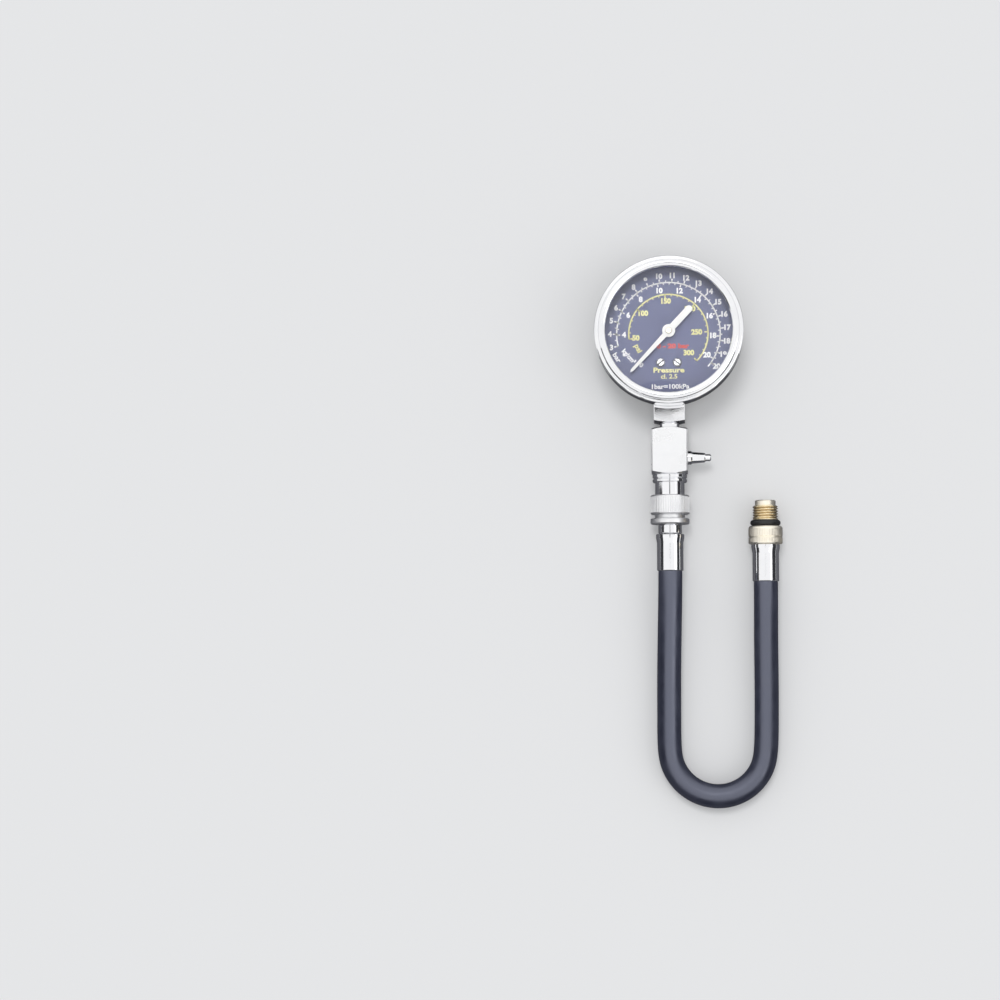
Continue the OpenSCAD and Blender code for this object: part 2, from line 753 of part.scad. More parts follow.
module coupler_sleeve() {
    r = sleeve_d / 2;
    bore = barrel_low_r + slide_fit;
    wide = barrel_r + slide_fit;
    color("#d5d8dc") on_stem() difference() {
        turned([
            [wide, sleeve_top], [r - 0.5, sleeve_top], [r, sleeve_top + 0.5], [r, grip_end - 0.5],
            [r - 0.5, grip_end], [r - 1.9, grip_end], [r - 2.2, grip_end + 0.3], [r - 2.2, groove_end - 0.3],
            [r - 1.9, groove_end], [r - 0.4, groove_end], [r, groove_end + 0.4], [r, sleeve_end - 0.5],
            [r - 0.5, sleeve_end], [barrel_r, sleeve_end], [barrel_r, relief_s],
            [bore, relief_s], [bore, ledge_s], [wide, ledge_s]
        ]);
        flutes(sleeve_flutes, r + 0.12, 0.36, sleeve_top + 0.8, grip_end - 0.8);
    }
}

module coupler_spring() {
    color("#8f9398") on_stem() translate([0, 0, spring_seat_s])
        coil_spring((barrel_low_r + barrel_r) / 2, 0.36, ledge_s - spring_seat_s, 4, 20, 6);
}

module lock_balls() {
    color("#c4c8cc") on_stem() for (i = [0 : ball_count - 1])
        rotate(i * 360 / ball_count + 30) translate([ball_ring_r, 0, ball_s]) sphere(r = ball_r);
}

module sleeve_stop_ring() {
    color("#5e6165") on_stem() translate([0, 0, barrel_end - 0.98]) difference() {
        cylinder(r = barrel_r - 0.08, h = 0.56);
        translate([0, 0, -eps]) cylinder(r = barrel_low_r - 0.38, h = 0.6);
        translate([0, -0.6, -eps]) cube([barrel_r + 1, 1.2, 0.6]);
    }
}

module coupler_seal() {
    color("#1c1c1e") on_stem() translate([0, 0, seal_s]) rotate_extrude()
        translate([plug_bore_r - seal_wire_r, 0]) circle(r = seal_wire_r);
}

// Hose assembly

module hose_plug() {
    nose = seal_s - seal_wire_r + 0.05;
    nose_r = plug_bore_r - 2 * seal_wire_r - 0.05;
    body_r = plug_bore_r - 0.1;
    groove_r = ball_ring_r - ball_r - 0.1;
    barb_end = hose_start + barb_len;
    color("#dadde1") on_stem() turned(concat(
        [
            [bore_r, nose], [nose_r - 0.3, nose], [nose_r, nose + 0.4], [nose_r, seal_s + 1.5],
            [body_r, seal_s + 3], [body_r, ball_s - 1.6], [groove_r, ball_s - 1.1], [groove_r, ball_s + 1.1],
            [body_r, ball_s + 1.6], [body_r, sleeve_end + 0.2], [plug_collar_r - 0.4, sleeve_end + 0.2],
            [plug_collar_r, sleeve_end + 0.6], [plug_collar_r, plug_collar_end - 0.6],
            [plug_collar_r - 0.4, plug_collar_end]
        ],
        barb_points(plug_collar_end, barb_end),
        [[barb_r - 0.6, barb_end], [bore_r, barb_end]]
    ));
}

// Crimped steel shell that opens into a bell at the end next to the fitting
module ferrule(from, to) {
    r = ferrule_d / 2;
    r_in = r - ferrule_wall;
    bell_r = r + ferrule_bell;
    turned([
        [r_in - 0.8, from], [bell_r - 0.3, from], [bell_r, from + 0.3], [bell_r, from + 1.8],
        [r, from + 4.2], [r, to - 0.3], [r - 0.3, to], [r_in, to],
        [r_in, from + 0.2], [r_in - 0.8, from + 0.2]
    ]);
}

module upper_ferrule() {
    color("#dfe2e5") on_stem() ferrule(plug_collar_end, upper_ferrule_end);
}

module lower_ferrule() {
    color("#dfe2e5") on_fitting() ferrule(collar_end, lower_ferrule_end);
}

module hose() {
    path = smooth_route(hose_route, 3);
    radii = [for (p = path)
        let(mouth = p[0] < fitting_x / 2 ? upper_ferrule_end : lower_ferrule_end)
        p[1] >= -mouth ? crimp_r : hose_d / 2];
    color("#1a1b1e") swept_tube(path, radii, hose_bore / 2, 12);
}

module end_fitting() {
    r = thread_d / 2;
    collar_r = collar_d / 2;
    barb_end = hose_end + barb_len;
    color("#d9b36a") on_fitting() difference() {
        turned(concat(
            [
                [check_bore_r, fitting_tip], [pilot_r - 0.4, fitting_tip], [pilot_r, fitting_tip + 0.4],
                [pilot_r, thread_start], [r, thread_start + 0.5], [r, thread_end],
                [seal_groove_r, thread_end],
                [seal_groove_r, collar_start], [collar_r - 0.9, collar_start], [collar_r, collar_start + 0.9],
                [collar_r, collar_end - 0.6], [collar_r - 0.6, collar_end]
            ],
            barb_points(collar_end, barb_end),
            [
                [barb_r - 0.6, barb_end], [bore_r, barb_end], [bore_r, check_bore_end],
                [check_bore_r, check_bore_end]
            ]
        ));
        flutes(collar_flutes, collar_r + 0.16, 0.3, collar_start + 1.4, collar_end - 1);
    }
}

module end_seal() {
    color("#1b1b1d") on_fitting() translate([0, 0, (thread_end + collar_start) / 2]) rotate_extrude()
        translate([seal_groove_r + end_seal_r + 0.02, 0]) circle(r = end_seal_r);
}

// One-way valve core in the mouth of the fitting
module check_valve_cage() {
    top = fitting_tip + 2;
    color("#c7a75e") on_fitting() turned([
        [0.75, top], [check_bore_r - 0.02, top], [check_bore_r - 0.02, top + 3],
        [check_bore_r - 0.6, top + 3.5], [check_bore_r - 0.6, top + 4.5], [0.75, top + 4.5]
    ]);
}

module check_valve_pin() {
    top = fitting_tip + 0.8;
    cage_end = fitting_tip + 6.5;
    color("#b9bdc1") on_fitting() turned([
        [0, top], [0.6, top], [0.6, cage_end + 0.05], [1.5, cage_end + 0.05], [1.7, cage_end + 0.6],
        [1.7, cage_end + 1], [0.6, cage_end + 1], [0.6, check_bore_end - 2.2], [0, check_bore_end - 2]
    ]);
}

module check_valve_spring() {
    from = fitting_tip + 7.55;
    color("#9ea2a6") on_fitting() translate([0, 0, from])
        coil_spring(1.3, 0.16, check_bore_end - from, 4, 14, 6);
}

gauge_case();
case_screws();
bezel_ring();
lens();
lens_gasket();
dial_plate();
dial_screws();
pointer();
pointer_bush();
pinion_arbor();
sector_gear();
hairspring();
movement_back_plate();
movement_front_plate();
movement_pillars();
movement_screws();
bourdon_tube();
tube_tip();
link_rod();
gauge_socket();
tee_body();
valve_housing();
valve_button();
valve_spring();
valve_seal();
coupler_body();
coupler_sleeve();
coupler_spring();
lock_balls();
sleeve_stop_ring();
coupler_seal();
hose_plug();
upper_ferrule();
hose();
lower_ferrule();
end_fitting();
end_seal();
check_valve_cage();
check_valve_pin();
check_valve_spring();
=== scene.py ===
import math

import bmesh
import bpy
from mathutils import Matrix, Vector


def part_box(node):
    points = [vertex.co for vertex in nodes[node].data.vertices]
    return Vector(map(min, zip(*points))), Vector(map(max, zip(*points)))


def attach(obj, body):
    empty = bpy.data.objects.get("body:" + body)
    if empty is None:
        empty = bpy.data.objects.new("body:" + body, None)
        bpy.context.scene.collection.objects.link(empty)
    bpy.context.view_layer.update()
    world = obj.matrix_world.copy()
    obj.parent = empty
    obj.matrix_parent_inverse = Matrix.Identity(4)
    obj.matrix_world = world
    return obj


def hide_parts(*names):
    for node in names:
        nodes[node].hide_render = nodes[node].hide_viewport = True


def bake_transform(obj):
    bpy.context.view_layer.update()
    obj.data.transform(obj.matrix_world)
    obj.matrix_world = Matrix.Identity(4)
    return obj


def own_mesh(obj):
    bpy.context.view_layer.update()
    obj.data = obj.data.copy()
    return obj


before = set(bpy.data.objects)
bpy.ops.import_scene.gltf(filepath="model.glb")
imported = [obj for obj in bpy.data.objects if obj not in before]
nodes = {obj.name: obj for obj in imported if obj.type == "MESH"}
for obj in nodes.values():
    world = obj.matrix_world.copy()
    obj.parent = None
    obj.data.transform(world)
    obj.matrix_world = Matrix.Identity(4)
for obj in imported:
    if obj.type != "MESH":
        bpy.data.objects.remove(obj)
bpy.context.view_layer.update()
scene = bpy.context.scene
scene.view_settings.view_transform = "Standard"
mm = 0.001
weldGap = 1e-7
sharpAngle = math.radians(32)
print("frame loaded:", len(nodes), "nodes")


# Small helpers for meshes and objects

def addObject(name, data):
    obj = bpy.data.objects.new(name, data)
    scene.collection.objects.link(obj)
    return obj


def meshFrom(name, points, faces, smooth=True):
    mesh = bpy.data.meshes.new(name)
    mesh.from_pydata(points, [], faces)
    mesh.validate()
    mesh.polygons.foreach_set("use_smooth", [smooth] * len(mesh.polygons))
    mesh.update()
    return mesh


def joinMeshes(name, meshes):
    bm = bmesh.new()
    for mesh in meshes:
        bm.from_mesh(mesh)
        bpy.data.meshes.remove(mesh)
    joined = bpy.data.meshes.new(name)
    bm.to_mesh(joined)
    bm.free()
    return joined


def evaluatedMesh(obj):
    depsgraph = bpy.context.evaluated_depsgraph_get()
    depsgraph.update()
    return bpy.data.meshes.new_from_object(obj.evaluated_get(depsgraph))


# Studio: the camera stands where the photograph was taken from

cameraSet = {
    "place": (0.0103, -0.1485, 1.008),
    "right": (0.9959, 0.0, -0.0908),
    "back": (0.0906, -0.0698, 0.9934),
    "lens": 75.9,
    "sensor": 36,
    "reach": 50,
}


def addCamera(spec):
    right = Vector(spec["right"]).normalized()
    back = Vector(spec["back"]).normalized()
    up = back.cross(right).normalized()
    data = bpy.data.cameras.new("studioCamera")
    data.lens = spec["lens"]
    data.sensor_width = spec["sensor"]
    data.clip_end = spec["reach"]
    camera = addObject("studioCamera", data)
    turn = Matrix((right, up, back)).transposed().to_4x4()
    camera.matrix_world = Matrix.Translation(spec["place"]) @ turn
    scene.camera = camera


lightSet = {
    "worldFill": 0.7,
    "fillColour": (0.97, 0.985, 1, 1),
    # most of the key isn't mirrored, so it leaves little glare on the lens and the plated pieces
    "key": {"towards": (-0.1, 0.5, 1.25), "spread": 20, "strength": 0.7, "mirrored": False},
    "gloss": {"towards": (-0.1, 0.5, 1.25), "spread": 20, "strength": 0.14, "mirrored": True},
    "side": {"towards": (0.9, -0.35, 0.8), "spread": 40, "strength": 0.25, "mirrored": True},
    "floorColour": (0.7, 0.7, 0.705, 1),
    # the paper brightens from the first distance to the second, so no horizon shows
    "floorLift": (0.1, 0.3),
    "floorFade": (0.5, 2.2),
    "floorHalf": 30.0,
    # the gauge rests just above the paper
    "floorDrop": 0.00002,
}


def seenRays(tree):
    # 1 on camera, glossy and transmission rays, 0 on the rays that light things
    path = tree.nodes.new("ShaderNodeLightPath")
    first = tree.nodes.new("ShaderNodeMath")
    first.operation = "MAXIMUM"
    second = tree.nodes.new("ShaderNodeMath")
    second.operation = "MAXIMUM"
    tree.links.new(path.outputs["Is Camera Ray"], first.inputs[0])
    tree.links.new(path.outputs["Is Glossy Ray"], first.inputs[1])
    tree.links.new(first.outputs[0], second.inputs[0])
    tree.links.new(path.outputs["Is Transmission Ray"], second.inputs[1])
    return second.outputs[0]


def addWorld(spec):
    world = bpy.data.worlds.new("paleStudio")
    scene.world = world
    world.use_nodes = True
    tree = world.node_tree
    tree.nodes.clear()
    seen = tree.nodes.new("ShaderNodeBackground")
    seen.inputs["Color"].default_value = (1, 1, 1, 1)
    seen.inputs["Strength"].default_value = 1.0
    fill = tree.nodes.new("ShaderNodeBackground")
    fill.inputs["Color"].default_value = spec["fillColour"]
    fill.inputs["Strength"].default_value = spec["worldFill"]
    mix = tree.nodes.new("ShaderNodeMixShader")
    out = tree.nodes.new("ShaderNodeOutputWorld")
    tree.links.new(seenRays(tree), mix.inputs[0])
    tree.links.new(fill.outputs[0], mix.inputs[1])
    tree.links.new(seen.outputs[0], mix.inputs[2])
    tree.links.new(mix.outputs[0], out.inputs["Surface"])


def addFloor(spec):
    half = spec["floorHalf"]
    corners = [(-half, -half, 0), (half, -half, 0), (half, half, 0), (-half, half, 0)]
    floor = addObject("studioFloor", meshFrom("studioFloor", corners, [(0, 1, 2, 3)], smooth=False))
    floor.location.z = -spec["floorDrop"]
    paper = bpy.data.materials.new("floorPaper")
    paper.use_nodes = True
    tree = paper.node_tree
    tree.nodes.clear()
    matt = tree.nodes.new("ShaderNodeBsdfDiffuse")
    matt.inputs["Color"].default_value = spec["floorColour"]
    lift = tree.nodes.new("ShaderNodeEmission")
    lift.inputs["Color"].default_value = (1, 1, 1, 1)
    coords = tree.nodes.new("ShaderNodeTexCoord")
    away = tree.nodes.new("ShaderNodeVectorMath")
    away.operation = "LENGTH"
    tree.links.new(coords.outputs["Object"], away.inputs[0])
    fade = tree.nodes.new("ShaderNodeMapRange")
    fade.interpolation_type = "SMOOTHSTEP"
    fade.inputs["From Min"].default_value, fade.inputs["From Max"].default_value = spec["floorFade"]
    fade.inputs["To Min"].default_value, fade.inputs["To Max"].default_value = spec["floorLift"]
    tree.links.new(away.outputs["Value"], fade.inputs["Value"])
    strength = tree.nodes.new("ShaderNodeMath")
    strength.operation = "MULTIPLY"
    add = tree.nodes.new("ShaderNodeAddShader")
    out = tree.nodes.new("ShaderNodeOutputMaterial")
    tree.links.new(seenRays(tree), strength.inputs[0])
    tree.links.new(fade.outputs["Result"], strength.inputs[1])
    tree.links.new(strength.outputs[0], lift.inputs["Strength"])
    tree.links.new(matt.outputs[0], add.inputs[0])
    tree.links.new(lift.outputs[0], add.inputs[1])
    tree.links.new(add.outputs[0], out.inputs["Surface"])
    floor.data.materials.append(paper)


def addSoftSun(name, spec):
    data = bpy.data.lights.new(name, "SUN")
    data.energy = spec["strength"]
    data.angle = math.radians(spec["spread"])
    lamp = addObject(name, data)
    lamp.rotation_euler = Vector(spec["towards"]).to_track_quat("Z", "Y").to_euler()
    lamp.visible_glossy = spec["mirrored"]


# Dark cards round the set give the plated pieces their dark lines; the camera doesn't see them
cardSet = {
    "left": {"start": (-0.34, -0.6), "end": (-0.34, -0.045), "foot": 0.005, "top": 0.2, "tone": 0.045},
    "right": {"start": (0.19, -0.6), "end": (0.19, -0.045), "foot": 0.005, "top": 0.11, "tone": 0.045},
    "hoseLeft": {"start": (-0.062, -0.29), "end": (-0.062, -0.128), "foot": 0.001, "top": 0.075,
                 "tone": 0.03},
    "hoseRight": {"start": (0.105, -0.29), "end": (0.105, -0.128), "foot": 0.001, "top": 0.075,
                  "tone": 0.03},
    "hoseFront": {"start": (-0.062, -0.29), "end": (0.105, -0.29), "foot": 0.001, "top": 0.09,
                  "tone": 0.03},
    "underHose": {"centre": (-0.075, -0.33, -0.00001), "half": (0.265, 0.294), "points": 4,
                  "tone": 0.12},
    "underHead": {"centre": (0, 0, -0.00001), "half": (0.06, 0.06), "points": 48, "tone": 0.12},
    "overhead": {"centre": (-0.008, -0.012, 1.03), "half": (0.06, 0.034), "points": 4, "tone": 0.12},
    "valve": {"centre": (0.022, 0.0335, 1.03), "half": (0.013, 0.0035), "points": 4, "tone": 0.045},
    "window": {"centre": (-0.0185, 0.0885, 1.03), "half": (0.027, 0.0145), "points": 48, "tone": 0.045},
}
feltBlue = 1.1


def cardCorners(spec):
    if "centre" in spec:
        x, y, z = spec["centre"]
        wide, deep = spec["half"]
        if spec["points"] == 4:
            return [(x + a * wide, y + b * deep, z) for a, b in ((-1, -1), (1, -1), (1, 1), (-1, 1))]
        turns = [2 * math.pi * k / spec["points"] for k in range(spec["points"])]
        return [(x + wide * math.cos(a), y + deep * math.sin(a), z) for a in turns]
    start = spec["start"]
    end = spec["end"]
    return [(*start, spec["foot"]), (*end, spec["foot"]), (*end, spec["top"]), (*start, spec["top"])]


def addCard(name, spec):
    corners = cardCorners(spec)
    face = tuple(range(len(corners)))
    card = addObject(name + "Card", meshFrom(name + "Card", corners, [face], smooth=False))
    felt = bpy.data.materials.new(name + "Felt")
    felt.use_nodes = True
    tone = spec["tone"]
    shader = felt.node_tree.nodes["Principled BSDF"]
    shader.inputs["Base Color"].default_value = (tone, tone, tone * feltBlue, 1)
    shader.inputs["Roughness"].default_value = 1.0
    card.data.materials.append(felt)
    card.visible_camera = False
    card.visible_diffuse = False
    card.visible_transmission = False
    card.visible_shadow = False


addCamera(cameraSet)
addWorld(lightSet)
addFloor(lightSet)
for lampName in ("key", "gloss", "side"):
    addSoftSun(lampName + "Light", lightSet[lampName])
for cardName, card in cardSet.items():
    addCard(cardName, card)
print("studio set")


# Shader groups that several finishes share

cloudRange = (0.35, 0.68)
patchRange = (0.35, 0.65)


def newGroup(name, inputs, outputs):
    group = bpy.data.node_groups.new(name, "ShaderNodeTree")
    for label, value in inputs:
        socket = group.interface.new_socket(name=label, in_out="INPUT", socket_type="NodeSocketFloat")
        socket.default_value = value
    for label in outputs:
        group.interface.new_socket(name=label, in_out="OUTPUT", socket_type="NodeSocketFloat")
    return group, group.nodes.new("NodeGroupInput"), group.nodes.new("NodeGroupOutput")


def mapRange(tree, source, fromLow, fromHigh):
    node = tree.nodes.new("ShaderNodeMapRange")
    node.inputs["From Min"].default_value = fromLow
    node.inputs["From Max"].default_value = fromHigh
    tree.links.new(source, node.inputs["Value"])
    return node


def makeHandling():
    # cloudy finger marks in the gloss
    group, inputs, outputs = newGroup(
        "handlingMarks", [("Scale", 90), ("Low", 0.08), ("High", 0.16)], ["Roughness", "Mask"])
    coords = group.nodes.new("ShaderNodeTexCoord")
    cloud = group.nodes.new("ShaderNodeTexNoise")
    cloud.inputs["Detail"].default_value = 4
    group.links.new(coords.outputs["Object"], cloud.inputs["Vector"])
    group.links.new(inputs.outputs["Scale"], cloud.inputs["Scale"])
    spread = mapRange(group, cloud.outputs["Fac"], *cloudRange)
    group.links.new(inputs.outputs["Low"], spread.inputs["To Min"])
    group.links.new(inputs.outputs["High"], spread.inputs["To Max"])
    mask = mapRange(group, cloud.outputs["Fac"], *cloudRange)
    group.links.new(spread.outputs["Result"], outputs.inputs["Roughness"])
    group.links.new(mask.outputs["Result"], outputs.inputs["Mask"])
    return group


def makeFineGrain():
    # even small grain for rubber, paint and plated metal
    group, inputs, outputs = newGroup(
        "fineGrain", [("Scale", 2500), ("Patches", 60)], ["Height", "Mask"])
    coords = group.nodes.new("ShaderNodeTexCoord")
    grain = group.nodes.new("ShaderNodeTexNoise")
    grain.inputs["Detail"].default_value = 2
    patches = group.nodes.new("ShaderNodeTexNoise")
    patches.inputs["Detail"].default_value = 5
    for noise, label in ((grain, "Scale"), (patches, "Patches")):
        group.links.new(coords.outputs["Object"], noise.inputs["Vector"])
        group.links.new(inputs.outputs[label], noise.inputs["Scale"])
    mask = mapRange(group, patches.outputs["Fac"], *patchRange)
    group.links.new(grain.outputs["Fac"], outputs.inputs["Height"])
    group.links.new(mask.outputs["Result"], outputs.inputs["Mask"])
    return group


def makeLatheLines():
    # fine rings along Y, as a turning tool leaves
    group, inputs, outputs = newGroup("latheLines", [("Scale", 5000)], ["Height"])
    coords = group.nodes.new("ShaderNodeTexCoord")
    split = group.nodes.new("ShaderNodeSeparateXYZ")
    times = group.nodes.new("ShaderNodeMath")
    times.operation = "MULTIPLY"
    lines = group.nodes.new("ShaderNodeTexNoise")
    lines.noise_dimensions = "1D"
    lines.inputs["Scale"].default_value = 1
    lines.inputs["Detail"].default_value = 2
    group.links.new(coords.outputs["Object"], split.inputs[0])
    group.links.new(split.outputs["Y"], times.inputs[0])
    group.links.new(inputs.outputs["Scale"], times.inputs[1])
    group.links.new(times.outputs[0], lines.inputs["W"])
    group.links.new(lines.outputs["Fac"], outputs.inputs["Height"])
    return group


handlingMarks = makeHandling()
fineGrain = makeFineGrain()
latheLines = makeLatheLines()


# Finishes

def newMaterial(name, colour, roughness, metallic=0.0, viewColour=None):
    material = bpy.data.materials.new(name)
    material.use_nodes = True
    shader = material.node_tree.nodes["Principled BSDF"]
    shader.inputs["Base Color"].default_value = (*colour, 1)
    shader.inputs["Roughness"].default_value = roughness
    shader.inputs["Metallic"].default_value = metallic
    material.diffuse_color = (*(viewColour or colour), 1)
    return material, material.node_tree, shader


def useGroup(tree, group, **values):
    node = tree.nodes.new("ShaderNodeGroup")
    node.node_tree = group
    for label, value in values.items():
        node.inputs[label].default_value = value
    return node


def linkBump(tree, shader, height, strength, distance):
    bump = tree.nodes.new("ShaderNodeBump")
    bump.inputs["Strength"].default_value = strength
    bump.inputs["Distance"].default_value = distance
    tree.links.new(height, bump.inputs["Height"])
    tree.links.new(bump.outputs["Normal"], shader.inputs["Normal"])


def linkTint(tree, shader, mask, first, second):
    mix = tree.nodes.new("ShaderNodeMix")
    mix.data_type = "RGBA"
    mix.inputs["A"].default_value = (*first, 1)
    mix.inputs["B"].default_value = (*second, 1)
    tree.links.new(mask, mix.inputs["Factor"])
    tree.links.new(mix.outputs["Result"], shader.inputs["Base Color"])


def darken(tree, shader, mask, colour):
    # lays a painted shade colour over what already reaches Base Color
    base = shader.inputs["Base Color"].links[0].from_socket
    mix = tree.nodes.new("ShaderNodeMix")
    mix.data_type = "RGBA"
    mix.inputs["B"].default_value = (*colour, 1)
    tree.links.new(mask, mix.inputs["Factor"])
    tree.links.new(base, mix.inputs["A"])
    tree.links.new(mix.outputs["Result"], shader.inputs["Base Color"])


def heightMask(tree, level):
    # 1 below a height, 0 above it
    coords = tree.nodes.new("ShaderNodeTexCoord")
    split = tree.nodes.new("ShaderNodeSeparateXYZ")
    below = tree.nodes.new("ShaderNodeMath")
    below.operation = "LESS_THAN"
    below.inputs[1].default_value = level
    tree.links.new(coords.outputs["Object"], split.inputs[0])
    tree.links.new(split.outputs["Z"], below.inputs[0])
    return below.outputs[0]


# scale of the marks and the grain, and how strong and deep the fine relief is
surfaceSet = {
    "metal": {"marks": 110, "grain": 1800, "patches": 80, "relief": 0.05, "depth": 0.00002},
    "brass": {"marks": 140, "rings": 9000, "relief": 0.18, "depth": 0.00004},
    "paint": {"patches": 120, "relief": 0.12, "depth": 0.00003, "sleeker": 0.05, "duller": 0.08},
}

finishes = {
    "chromePolish": {"colour": (0.93, 0.932, 0.945), "worn": (0.88, 0.885, 0.905),
                     "gloss": (0.05, 0.12)},
    "stemPlate": {"colour": (0.92, 0.922, 0.935), "worn": (0.87, 0.875, 0.895), "gloss": (0.03, 0.07)},
    "chromeSatin": {"colour": (0.88, 0.883, 0.892), "worn": (0.82, 0.825, 0.838), "gloss": (0.26, 0.36)},
    "gripSteel": {"colour": (0.92, 0.922, 0.93), "worn": (0.84, 0.845, 0.86), "gloss": (0.3, 0.42)},
    "plainSteel": {"colour": (0.62, 0.63, 0.64), "worn": (0.5, 0.51, 0.53), "gloss": (0.22, 0.38)},
    "springWire": {"colour": (0.4, 0.41, 0.43), "worn": (0.3, 0.31, 0.33), "gloss": (0.25, 0.4)},
    "movementBrass": {"colour": (0.78, 0.58, 0.27), "worn": (0.62, 0.43, 0.18), "gloss": (0.2, 0.36)},
    # the slots of the dial's screws lie below this height; slot is the painted shade laid in them
    "screwPlate": {"colour": (0.86, 0.865, 0.875), "worn": (0.79, 0.80, 0.815), "gloss": (0.24, 0.34),
                   "slotTop": 0.0205, "slot": (0.16, 0.16, 0.17)},
}


def makeMetal(name, spec):
    surface = surfaceSet["metal"]
    low, high = spec["gloss"]
    material, tree, shader = newMaterial(name, spec["colour"], low, metallic=1.0)
    marks = useGroup(tree, handlingMarks, Scale=surface["marks"], Low=low, High=high)
    tree.links.new(marks.outputs["Roughness"], shader.inputs["Roughness"])
    linkTint(tree, shader, marks.outputs["Mask"], spec["colour"], spec["worn"])
    # painted shade in the screw slots, below slotTop
    if "slot" in spec:
        darken(tree, shader, heightMask(tree, spec["slotTop"]), spec["slot"])
    grain = useGroup(tree, fineGrain, Scale=surface["grain"], Patches=surface["patches"])
    linkBump(tree, shader, grain.outputs["Height"], surface["relief"], surface["depth"])
    return material


brasses = {
    "turnedBrass": {"colour": (0.99, 0.9, 0.69), "worn": (0.96, 0.84, 0.59), "gloss": (0.24, 0.36)},
    "collarBrass": {"colour": (1.0, 0.95, 0.84), "worn": (0.985, 0.92, 0.78), "gloss": (0.36, 0.48)},
}
# painted shade colour for the bottoms of the thread and the flutes
grooveShadeColour = (0.42, 0.27, 0.11)


def makeTurnedBrass(name, spec):
    surface = surfaceSet["brass"]
    low, high = spec["gloss"]
    material, tree, shader = newMaterial(name, spec["colour"], low, metallic=1.0)
    marks = useGroup(tree, handlingMarks, Scale=surface["marks"], Low=low, High=high)
    tree.links.new(marks.outputs["Roughness"], shader.inputs["Roughness"])
    linkTint(tree, shader, marks.outputs["Mask"], spec["colour"], spec["worn"])
    # painted shade in the thread and flute bottoms, read from the fitting's grooveShade attribute
    grooveShade = tree.nodes.new("ShaderNodeAttribute")
    grooveShade.attribute_name = "grooveShade"
    darken(tree, shader, grooveShade.outputs["Fac"], grooveShadeColour)
    rings = useGroup(tree, latheLines, Scale=surface["rings"])
    linkBump(tree, shader, rings.outputs["Height"], surface["relief"], surface["depth"])
    return material


paints = {
    "caseEnamel": {"colour": (0.012, 0.012, 0.013), "worn": (0.016, 0.016, 0.0175), "gloss": 0.2,
                   "grain": 700},
    # the dark navy dial paint, made lighter by a painted reflection of the lens
    "dialPaintWithReflection": {"colour": (0.117, 0.133, 0.25), "worn": (0.13, 0.145, 0.27), "gloss": 0.5,
                  "grain": 2600},
    "pointerPaint": {"colour": (0.86, 0.86, 0.85), "worn": (0.8, 0.8, 0.785), "gloss": 0.4,
                     "grain": 2600},
    "inkWhite": {"colour": (0.93, 0.93, 0.94), "worn": (0.86, 0.86, 0.88), "gloss": 0.5, "grain": 3000},
    "inkYellow": {"colour": (0.82, 0.79, 0.38), "worn": (0.73, 0.7, 0.31), "gloss": 0.5, "grain": 3000},
    "inkRed": {"colour": (0.72, 0.09, 0.075), "worn": (0.6, 0.07, 0.06), "gloss": 0.5, "grain": 3000},
    "hoseRubber": {"colour": (0.017, 0.019, 0.036), "worn": (0.023, 0.026, 0.046), "gloss": 0.38,
                   "grain": 900, "shine": 1.0, "density": 1.8, "sheenTint": (0.79, 0.83, 1.0)},
    "sealRubber": {"colour": (0.009, 0.009, 0.0095), "worn": (0.016, 0.016, 0.017), "gloss": 0.36,
                   "grain": 1600},
}


def makePaint(name, spec):
    surface = surfaceSet["paint"]
    material, tree, shader = newMaterial(name, spec["colour"], spec["gloss"])
    grain = useGroup(tree, fineGrain, Scale=spec["grain"], Patches=surface["patches"])
    linkTint(tree, shader, grain.outputs["Mask"], spec["colour"], spec["worn"])
    spread = tree.nodes.new("ShaderNodeMapRange")
    spread.inputs["To Min"].default_value = spec["gloss"] - surface["sleeker"]
    spread.inputs["To Max"].default_value = spec["gloss"] + surface["duller"]
    tree.links.new(grain.outputs["Mask"], spread.inputs["Value"])
    tree.links.new(spread.outputs["Result"], shader.inputs["Roughness"])
    linkBump(tree, shader, grain.outputs["Height"], surface["relief"], surface["depth"])
    shader.inputs["Specular IOR Level"].default_value = spec.get("shine", 0.5)
    shader.inputs["Specular Tint"].default_value = (*spec.get("sheenTint", (1, 1, 1)), 1)
    shader.inputs["IOR"].default_value = spec.get("density", 1.5)
    return material


def makeLens():
    material, tree, shader = newMaterial("clearLens", (1, 1, 1), 0.0, viewColour=(0.8, 0.85, 0.9))
    shader.inputs["Transmission Weight"].default_value = 1.0
    shader.inputs["IOR"].default_value = 1.5
    through = tree.nodes.new("ShaderNodeBsdfTransparent")
    path = tree.nodes.new("ShaderNodeLightPath")
    mix = tree.nodes.new("ShaderNodeMixShader")
    tree.links.new(path.outputs["Is Shadow Ray"], mix.inputs[0])
    tree.links.new(shader.outputs[0], mix.inputs[1])
    tree.links.new(through.outputs[0], mix.inputs[2])
    tree.links.new(mix.outputs[0], tree.nodes["Material Output"].inputs["Surface"])
    return material


looks = {name: makeMetal(name, spec) for name, spec in finishes.items()}
looks.update({name: makePaint(name, spec) for name, spec in paints.items()})
looks.update({name: makeTurnedBrass(name, spec) for name, spec in brasses.items()})
looks["clearLens"] = makeLens()
print("finishes made:", len(looks))


# Which finish each solid wears

